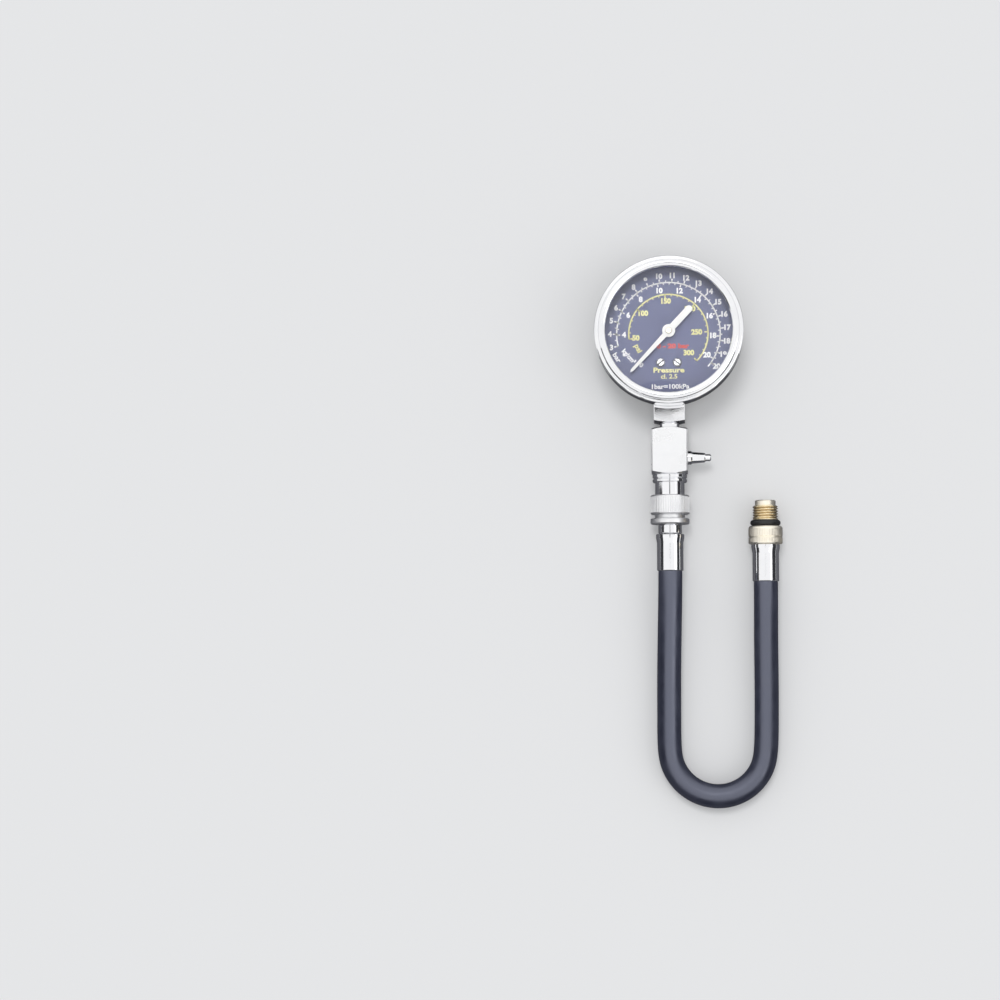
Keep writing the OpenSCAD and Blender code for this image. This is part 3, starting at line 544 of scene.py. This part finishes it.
solidFinish = {
    "chromePolish": ["bezel_ring", "valve_housing", "valve_button", "coupler_body", "hose_plug",
                     "upper_ferrule", "lower_ferrule"],
    "stemPlate": ["gauge_socket"],
    "chromeSatin": ["tee_body"],
    "screwPlate": ["dial_screws"],
    "gripSteel": ["coupler_sleeve"],
    "plainSteel": ["case_screws", "movement_screws", "link_rod", "lock_balls", "check_valve_pin"],
    "springWire": ["valve_spring", "coupler_spring", "sleeve_stop_ring", "check_valve_spring"],
    "movementBrass": ["pinion_arbor", "sector_gear", "hairspring", "movement_back_plate",
                      "movement_front_plate", "movement_pillars", "bourdon_tube", "tube_tip",
                      "check_valve_cage"],
    "caseEnamel": ["gauge_case"],
    "dialPaintWithReflection": ["dial_plate"],
    "pointerPaint": ["pointer"],
    "sealRubber": ["lens_gasket", "valve_seal", "coupler_seal", "end_seal"],
    "clearLens": ["lens"],
    "hoseRubber": ["hose"],
    "turnedBrass": ["end_fitting"],
    "collarBrass": ["pointer_bush"],
}


def dressSolids(spec):
    for finish, names in spec.items():
        for name in names:
            solid = nodes[name]
            if not solid.material_slots:
                solid.data.materials.append(None)
            for slot in solid.material_slots:
                slot.material = looks[finish]


dressSolids(solidFinish)
print("solids dressed:", sum(len(names) for names in solidFinish.values()))


# Copies of the springs, carried with their bodies, and a copy of the pressure tube

springSet = {
    "valve_spring": {"piece": "bleedSpring", "body": "gauge_head", "joint": "bleed_press"},
    "coupler_spring": {"piece": "sleeveSpring", "body": "gauge_head", "joint": "sleeve_slide"},
    "check_valve_spring": {"piece": "checkSpring", "body": "hose_line", "joint": "check_valve_open"},
}


def copySolid(node, name, finish):
    mesh = nodes[node].data.copy()
    bm = bmesh.new()
    bm.from_mesh(mesh)
    bmesh.ops.remove_doubles(bm, verts=bm.verts, dist=weldGap)
    bm.to_mesh(mesh)
    bm.free()
    mesh.materials.clear()
    mesh.materials.append(looks[finish])
    mesh.polygons.foreach_set("material_index", [0] * len(mesh.polygons))
    mesh.set_sharp_from_angle(angle=sharpAngle)
    return addObject(name, mesh)


def addSpring(node, spec):
    spring = copySolid(node, spec["piece"], "springWire")
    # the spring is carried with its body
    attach(spring, spec["body"])
    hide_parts(node)
    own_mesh(spring)
    return spring


def addPressureTube():
    tube = copySolid("bourdon_tube", "pressureTube", "movementBrass")
    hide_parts("bourdon_tube")
    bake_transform(tube)


springs = {node: addSpring(node, spec) for node, spec in springSet.items()}
addPressureTube()
print("pressure tube set")


# Hose: one tube round the bend, swelling as it leaves each ferrule

hoseSet = {
    "route": [
        (0, -95.3, 9.5), (0, -104, 9.5), (0, -112.4, 9.5), (0, -115.4, 9.5),
        (-0.1, -124, 9.2), (-0.4, -138, 8.3), (-0.7, -152, 7.3), (-0.9, -166, 6.4), (-0.9, -180, 5.9),
        (-0.9, -195.8, 5.8), (0.8, -204.5, 5.8), (5.7, -211.8, 5.8), (13.1, -216.7, 5.8),
        (21.8, -218.4, 5.8),
        (30.4, -216.7, 5.8), (37.8, -211.8, 5.8), (42.7, -204.5, 5.8), (44.4, -195.8, 5.8),
        (44.7, -180, 5.9), (44.8, -166, 6.4), (44.7, -152, 7.1), (44.7, -138, 7.7),
        (44.8, -128, 8.05), (44.8, -120.4, 8.05), (44.8, -117.4, 8.05),
        (44.8, -109, 8.05), (44.8, -100.1, 8.05),
    ],
    "mouths": (-112.4, -117.4),
    "middleX": 22.4,
    "diameter": 11.3,
    "crimped": 11.14,
    "swell": 1.2,
    "sides": 48,
    "stepsPerPoint": 8,
    "relaxing": 20,
}


def smoothRoute(points, steps):
    line = []
    last = len(points) - 1
    for i in range(last):
        p, q, r, s = (Vector(points[max(0, min(last, i + k))]) for k in (-1, 0, 1, 2))
        for k in range(steps):
            t = k / steps
            line.append(0.5 * (2 * q + (r - p) * t + (2 * p - 5 * q + 4 * r - s) * t ** 2
                               + (3 * q - p - 3 * r + s) * t ** 3))
    line.append(Vector(points[last]))
    return line


def relaxed(line, passes):
    # evens out the bend from point to point, the ends stay
    for _ in range(passes):
        inner = [(a + 2 * b + c) / 4 for a, b, c in zip(line, line[1:], line[2:])]
        line = [line[0], *inner, line[-1]]
    return line


def hoseRadius(point, spec):
    mouth = spec["mouths"][0] if point.x < spec["middleX"] else spec["mouths"][1]
    past = min(max((mouth - point.y) / spec["swell"], 0), 1)
    ease = past * past * (3 - 2 * past)
    return (spec["crimped"] + (spec["diameter"] - spec["crimped"]) * ease) / 2


def addHose(spec):
    line = relaxed(smoothRoute(spec["route"], spec["stepsPerPoint"]), spec["relaxing"])
    sides = spec["sides"]
    points = []
    travel = [0.0]
    for i, centre in enumerate(line):
        before = line[max(i - 1, 0)]
        after = line[min(i + 1, len(line) - 1)]
        ahead = (after - before).normalized()
        side = ahead.cross(Vector((0, 0, 1))).normalized()
        up = side.cross(ahead)
        radius = hoseRadius(centre, spec)
        if i:
            travel.append(travel[-1] + (centre - before).length)
        for k in range(sides):
            a = 2 * math.pi * k / sides
            points.append((centre + radius * (math.cos(a) * side + math.sin(a) * up)) * mm)
    faces = []
    for i in range(len(line) - 1):
        for k in range(sides):
            n = (k + 1) % sides
            faces.append((i * sides + k, i * sides + n, (i + 1) * sides + n, (i + 1) * sides + k))
    faces.append(tuple(range(sides - 1, -1, -1)))
    faces.append(tuple(range((len(line) - 1) * sides, len(line) * sides)))
    hose = addObject("rubberHose", meshFrom("rubberHose", points, faces))
    turnOutwards(hose.data)
    hose.data.materials.append(looks["hoseRubber"])
    return hose, [point * mm for point in line], travel[-1] * mm


def turnOutwards(mesh):
    bm = bmesh.new()
    bm.from_mesh(mesh)
    bmesh.ops.remove_doubles(bm, verts=bm.verts, dist=weldGap)
    bmesh.ops.recalc_face_normals(bm, faces=bm.faces)
    bm.to_mesh(mesh)
    bm.free()


hose, hoseLine, hoseLength = addHose(hoseSet)
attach(hose, "hose_line")
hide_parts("hose")
print("hose length", round(hoseLength, 4), "m")


# Brass spark-plug fitting, turned along Y with a cut thread and a fluted collar

fittingSet = {
    "axis": (44.8, 8.05),
    "segments": 240,
    "threadPitch": 1.25,
    "threadDepth": 0.72,
    "threadRunOut": 1.0,
    # share of the pitch that stays flat on the crest, and the share that the flank takes
    "threadCrest": 0.14,
    "threadFlank": 0.74,
    # how far past its first and last row the thread is already or still cut
    "threadLead": (0.3, 0.1),
    "flutes": 60,
    "fluteDepth": 0.1,
    "fluteRunOut": 0.3,
    "fluteCurve": 0.7,
    # threadShade and fluteShade set how strong the painted shade in the thread and flute bottoms is
    "threadShade": 0.75,
    "fluteShade": 0.2,
    "rowStep": 0.1,
    "collarStart": 91.3,
    "pilotEnd": 81.7,
    # radius, station below the dial axis, kind of surface up to the next point
    "profile": [
        (2.6, 79.2, "plain"), (4.45, 79.2, "plain"), (4.85, 79.6, "plain"), (4.85, 81.6, "plain"),
        (5.95, 82.1, "thread"), (5.95, 88.4, "plain"), (5.3, 88.4, "plain"), (4.35, 88.4, "plain"),
        (4.35, 91.35, "plain"), (7.1, 91.35, "plain"), (7.55, 91.6, "plain"), (7.9, 92.1, "plain"),
        (8.0, 92.7, "flute"), (8.0, 96.2, "plain"), (7.75, 96.35, "plain"), (7.75, 96.75, "plain"),
        (8.0, 96.9, "flute"), (8.0, 99.2, "plain"), (7.85, 99.6, "plain"), (7.4, 99.9, "plain"),
        (2.7, 99.9, "plain"), (2.7, 114.4, "plain"), (1.6, 114.4, "plain"), (1.6, 91.2, "plain"),
        (2.6, 91.2, "plain"), (2.6, 79.2, "plain"),
    ],
}


def fittingRows(spec):
    rows = []
    profile = spec["profile"]
    for (r0, s0, kind), (r1, s1, _) in zip(profile, profile[1:]):
        count = 1 if kind == "plain" else max(2, round((s1 - s0) / spec["rowStep"]))
        for k in range(count):
            t = k / count
            rows.append((r0 + (r1 - r0) * t, s0 + (s1 - s0) * t, kind, s0, s1))
    return rows


def fittingCut(row, angle, spec):
    # how deep the thread or a flute is cut here, and how much painted shade lies in the cut
    _, station, kind, start, end = row
    if kind == "thread":
        runOut = spec["threadRunOut"]
        first, last = spec["threadLead"]
        phase = (station / spec["threadPitch"] - angle / (2 * math.pi)) % 1
        cut = min(max((abs(2 * phase - 1) - spec["threadCrest"]) / spec["threadFlank"], 0), 1)
        fade = min(1, (station - start + first) / runOut, (end - station + last) / runOut)
        return spec["threadDepth"] * cut * fade, spec["threadShade"] * cut * cut * fade
    if kind == "flute":
        runOut = spec["fluteRunOut"]
        fade = min(1, (station - start) / runOut, (end - station) / runOut)
        valley = 1 - abs(math.sin(spec["flutes"] * angle / 2)) ** spec["fluteCurve"]
        return spec["fluteDepth"] * valley * fade, spec["fluteShade"] * valley * fade
    return 0, 0


def addFitting(spec):
    rows = fittingRows(spec)
    count = spec["segments"]
    axisX, axisZ = spec["axis"]
    points = []
    shades = []
    for row in rows:
        for k in range(count):
            angle = 2 * math.pi * k / count
            cut, shade = fittingCut(row, angle, spec)
            radius = row[0] - cut
            points.append(((axisX + radius * math.cos(angle)) * mm, -row[1] * mm,
                           (axisZ + radius * math.sin(angle)) * mm))
            shades.append(shade)
    faces = []
    for i in range(len(rows)):
        j = (i + 1) % len(rows)
        for k in range(count):
            n = (k + 1) % count
            faces.append((i * count + k, i * count + n, j * count + n, j * count + k))
    fitting = addObject("brassFitting", meshFrom("brassFitting", points, faces))
    fitting.data.attributes.new("grooveShade", "FLOAT", "POINT").data.foreach_set("value", shades)
    turnOutwards(fitting.data)
    fitting.data.set_sharp_from_angle(angle=sharpAngle)
    fitting.data.materials.append(looks["turnedBrass"])
    fitting.data.materials.append(looks["collarBrass"])
    for face in fitting.data.polygons:
        station = -face.center.y / mm
        if station > spec["collarStart"] or station < spec["pilotEnd"]:
            face.material_index = 1
    return fitting


fitting = addFitting(fittingSet)
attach(fitting, "hose_line")
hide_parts("end_fitting")
print("fitting turned")


# Dial print: scales, numbers and unit words, a thin layer of ink on the dial plate

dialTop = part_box("dial_plate")[1][2]
printSet = {
    "centre": (-0.2, -1.1),
    "ink": 0.03,
    "clear": 0.004,
    "overlap": 0.1,
    "startBar": 3,
    "startAngle": -103.5,
    "anglePerBar": 13.45,
    "barPerPsi": 1 / 14.504,
    "barPerKg": 1 / 1.0197,
    "line": 0.68,
    "thinLine": 0.5,
}


def barAngle(bar):
    return math.radians(printSet["startAngle"] + printSet["anglePerBar"] * (bar - printSet["startBar"]))


# Ticks of one length round an arc; angles run clockwise from the top of the dial
def makeTickTree():
    tree = bpy.data.node_groups.new("dialTicks", "GeometryNodeTree")
    face = tree.interface
    face.new_socket(name="Geometry", in_out="OUTPUT", socket_type="NodeSocketGeometry")
    face.new_socket(name="Count", in_out="INPUT", socket_type="NodeSocketInt")
    for label in ("Start", "Step", "Radius", "Length", "Width", "Thickness"):
        face.new_socket(name=label, in_out="INPUT", socket_type="NodeSocketFloat")
    face.new_socket(name="Ink", in_out="INPUT", socket_type="NodeSocketMaterial")
    add = tree.nodes.new
    link = tree.links.new
    given = add("NodeGroupInput")
    index = add("GeometryNodeInputIndex")

    def math2(operation, first, second=None):
        node = add("ShaderNodeMath")
        node.operation = operation
        link(first, node.inputs[0])
        if second is not None:
            link(second, node.inputs[1])
        return node.outputs[0]

    turned = math2("MULTIPLY", index.outputs[0], given.outputs["Step"])
    angle = math2("ADD", turned, given.outputs["Start"])
    place = add("ShaderNodeCombineXYZ")
    link(math2("MULTIPLY", math2("SINE", angle), given.outputs["Radius"]), place.inputs["X"])
    link(math2("MULTIPLY", math2("COSINE", angle), given.outputs["Radius"]), place.inputs["Y"])
    dots = add("GeometryNodePoints")
    link(given.outputs["Count"], dots.inputs["Count"])
    link(place.outputs[0], dots.inputs["Position"])
    size = add("ShaderNodeCombineXYZ")
    link(given.outputs["Width"], size.inputs["X"])
    link(given.outputs["Length"], size.inputs["Y"])
    link(given.outputs["Thickness"], size.inputs["Z"])
    bar = add("GeometryNodeMeshCube")
    link(size.outputs[0], bar.inputs["Size"])
    spin = add("ShaderNodeCombineXYZ")
    minus = add("ShaderNodeMath")
    minus.operation = "MULTIPLY"
    minus.inputs[1].default_value = -1
    link(angle, minus.inputs[0])
    link(minus.outputs[0], spin.inputs["Z"])
    toRotation = add("FunctionNodeEulerToRotation")
    link(spin.outputs[0], toRotation.inputs[0])
    scatter = add("GeometryNodeInstanceOnPoints")
    link(dots.outputs[0], scatter.inputs["Points"])
    link(bar.outputs["Mesh"], scatter.inputs["Instance"])
    link(toRotation.outputs[0], scatter.inputs["Rotation"])
    real = add("GeometryNodeRealizeInstances")
    link(scatter.outputs[0], real.inputs[0])
    paint = add("GeometryNodeSetMaterial")
    link(real.outputs[0], paint.inputs["Geometry"])
    link(given.outputs["Ink"], paint.inputs["Material"])
    out = add("NodeGroupOutput")
    link(paint.outputs[0], out.inputs["Geometry"])
    return tree


tickTree = makeTickTree()


def tickMesh(ink, count, start, step, inner, outer, width):
    obj = addObject("ticks", bpy.data.meshes.new("ticks"))
    modifier = obj.modifiers.new("ticks", "NODES")
    modifier.node_group = tickTree
    values = {
        "Count": count, "Start": start, "Step": step, "Radius": (inner + outer) / 2 * mm,
        "Length": (outer - inner) * mm, "Width": width * mm, "Thickness": printSet["ink"] * mm,
        "Ink": looks[ink],
    }
    for socket in tickTree.interface.items_tree:
        if socket.item_type == "SOCKET" and socket.in_out == "INPUT":
            modifier[socket.identifier] = values[socket.name]
    mesh = evaluatedMesh(obj)
    bpy.data.objects.remove(obj)
    return mesh


def arcMesh(radius, width, start, end, steps=120):
    points = []
    half = printSet["ink"] / 2
    for i in range(steps + 1):
        a = start + (end - start) * i / steps
        for r, z in ((radius - width / 2, -half), (radius + width / 2, -half),
                     (radius + width / 2, half), (radius - width / 2, half)):
            points.append((r * math.sin(a) * mm, r * math.cos(a) * mm, z * mm))
    faces = [(0, 1, 2, 3), tuple(4 * steps + k for k in (3, 2, 1, 0))]
    for i in range(steps):
        for k in range(4):
            n = (k + 1) % 4
            faces.append((4 * i + k, 4 * (i + 1) + k, 4 * (i + 1) + n, 4 * i + n))
    mesh = meshFrom("arc", points, faces, smooth=False)
    turnOutwards(mesh)
    return mesh


letterSet = {"capShare": 0.69, "narrow": 1.0, "bold": 0.085, "curveSteps": 3}


def textMesh(words, height, place, turn=0.0, narrow=None, bold=None):
    curve = bpy.data.curves.new("words", "FONT")
    curve.body = words
    curve.size = height / letterSet["capShare"] * mm
    curve.align_x = "CENTER"
    curve.align_y = "CENTER"
    curve.extrude = printSet["ink"] / 2 * mm
    curve.offset = (letterSet["bold"] if bold is None else bold) * height * mm
    curve.resolution_u = letterSet["curveSteps"]
    obj = addObject("words", curve)
    mesh = evaluatedMesh(obj)
    bpy.data.objects.remove(obj)
    squeeze = Matrix.Diagonal((narrow or letterSet["narrow"], 1, 1, 1))
    spin = Matrix.Rotation(math.radians(turn), 4, "Z")
    mesh.transform(Matrix.Translation((place[0] * mm, place[1] * mm, 0)) @ spin @ squeeze)
    mesh.polygons.foreach_set("use_smooth", [False] * len(mesh.polygons))
    return mesh


def onDial(radius, angle):
    return radius * math.sin(angle), radius * math.cos(angle)


def numberMeshes(values, toBar, radius, height):
    return [textMesh(str(v), height, onDial(radius, barAngle(v * toBar))) for v in values]


def addPrint(name, meshes, ink):
    mesh = joinMeshes(name, meshes)
    lift = dialTop + (printSet["ink"] / 2 + printSet["clear"]) * mm
    centreX, centreY = printSet["centre"]
    mesh.transform(Matrix.Translation((centreX * mm, centreY * mm, lift)))
    mesh.materials.clear()
    mesh.materials.append(looks[ink])
    piece = addObject(name, mesh)
    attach(piece, "gauge_head")
    return piece


whiteScale = {"arc": 24.3, "arcEnd": 20.4, "barTick": 1.8, "kgTick": 1.6, "smallTick": 1.0,
              "firstKg": 4, "kgStep": 2, "lastMark": 20, "barLabel": 27.5, "kgLabel": 20.8,
              "height": 2.35}
whiteWords = [
    {"words": "bar", "height": 2.3, "place": (-24.3, -11.1), "turn": -58, "narrow": 1.1, "bold": 0.04},
    {"words": "kg/cm²", "height": 2.2, "place": (-18.6, -10.6), "turn": -48, "narrow": 0.95,
     "bold": 0.06},
    {"words": "0", "height": 2.0, "place": (-12.8, -14.9), "turn": -40},
    {"words": "1bar=100kPa", "height": 2.1, "place": (0.6, -25.2), "narrow": 1.12, "bold": 0.05},
]


def whitePrint(spec):
    line = printSet["line"]
    thin = printSet["thinLine"]
    arc = spec["arc"]
    inner = arc - printSet["overlap"]
    outer = arc + printSet["overlap"]
    small = spec["smallTick"]
    step = spec["kgStep"]
    perBar = math.radians(printSet["anglePerBar"])
    perKg = perBar * printSet["barPerKg"]
    bars = range(printSet["startBar"], spec["lastMark"] + 1)
    kilos = range(spec["firstKg"], spec["lastMark"] + 1, step)
    firstBar = barAngle(bars[0])
    firstKg = barAngle(kilos[0] * printSet["barPerKg"])
    halfBars = 2 * (bars[-1] - bars[0]) + 1
    halfKilos = 2 * (kilos[-1] - kilos[0]) + 1
    kiloFoot = arc - spec["kgTick"]
    meshes = [arcMesh(arc, line, firstBar, barAngle(spec["arcEnd"]))]
    meshes.append(tickMesh("inkWhite", len(bars), firstBar, perBar, inner, arc + spec["barTick"], line))
    meshes.append(tickMesh("inkWhite", halfBars, firstBar, perBar / 2, inner, arc + small, thin))
    meshes.append(tickMesh("inkWhite", len(kilos), firstKg, step * perKg, kiloFoot, outer, line))
    meshes.append(tickMesh("inkWhite", halfKilos, firstKg, perKg / 2, arc - small, outer, thin))
    meshes += numberMeshes(bars, 1, spec["barLabel"], spec["height"])
    meshes += numberMeshes(kilos, printSet["barPerKg"], spec["kgLabel"], spec["height"])
    return meshes + [textMesh(**row) for row in whiteWords]


# the labels from tuckedFrom on stand nearer to the middle, clear of the white ones
yellowScale = {"arc": 18.6, "tick": 1.7, "smallTick": 0.9, "label": 15.4, "height": 2.3,
               "marks": (50, 300), "step": 50, "smallStep": 10, "tuckedFrom": 250, "tuck": 2.1}
yellowWords = [
    {"words": "psi", "height": 2.4, "place": (-14.2, -6.9), "turn": -64, "narrow": 1.1, "bold": 0.05},
    {"words": "Pressure", "height": 2.3, "place": (0.1, -17.4), "narrow": 1.25, "bold": 0.05},
    {"words": "cl. 2.5", "height": 2.0, "place": (0.3, -20.4), "narrow": 1.15, "bold": 0.04},
]
redWords = {"words": "0 - 20 bar", "height": 2.0, "place": (2.0, -6.0), "narrow": 1.3}


def yellowPrint(spec):
    line = printSet["line"]
    thin = printSet["thinLine"]
    arc = spec["arc"]
    outer = arc + printSet["overlap"]
    step = spec["step"]
    smallStep = spec["smallStep"]
    low, high = spec["marks"]
    perPsi = math.radians(printSet["anglePerBar"]) * printSet["barPerPsi"]
    first = barAngle(low * printSet["barPerPsi"])
    last = barAngle(high * printSet["barPerPsi"])
    marks = range(low, high + 1, step)
    smallMarks = range(low, high + 1, smallStep)
    foot = arc - spec["tick"]
    smallFoot = arc - spec["smallTick"]
    smallTurn = smallStep * perPsi
    meshes = [arcMesh(arc, line, first, last)]
    meshes.append(tickMesh("inkYellow", len(marks), first, step * perPsi, foot, outer, line))
    meshes.append(tickMesh("inkYellow", len(smallMarks), first, smallTurn, smallFoot, outer, thin))
    for psi in marks:
        radius = spec["label"] - (spec["tuck"] if psi >= spec["tuckedFrom"] else 0)
        place = onDial(radius, barAngle(psi * printSet["barPerPsi"]))
        meshes.append(textMesh(str(psi), spec["height"], place))
    return meshes + [textMesh(**row) for row in yellowWords]


whiteInk = addPrint("scaleWhite", whitePrint(whiteScale), "inkWhite")
addPrint("scaleYellow", yellowPrint(yellowScale), "inkYellow")
addPrint("rangeRed", [textMesh(**redWords)], "inkRed")
print("dial printed")
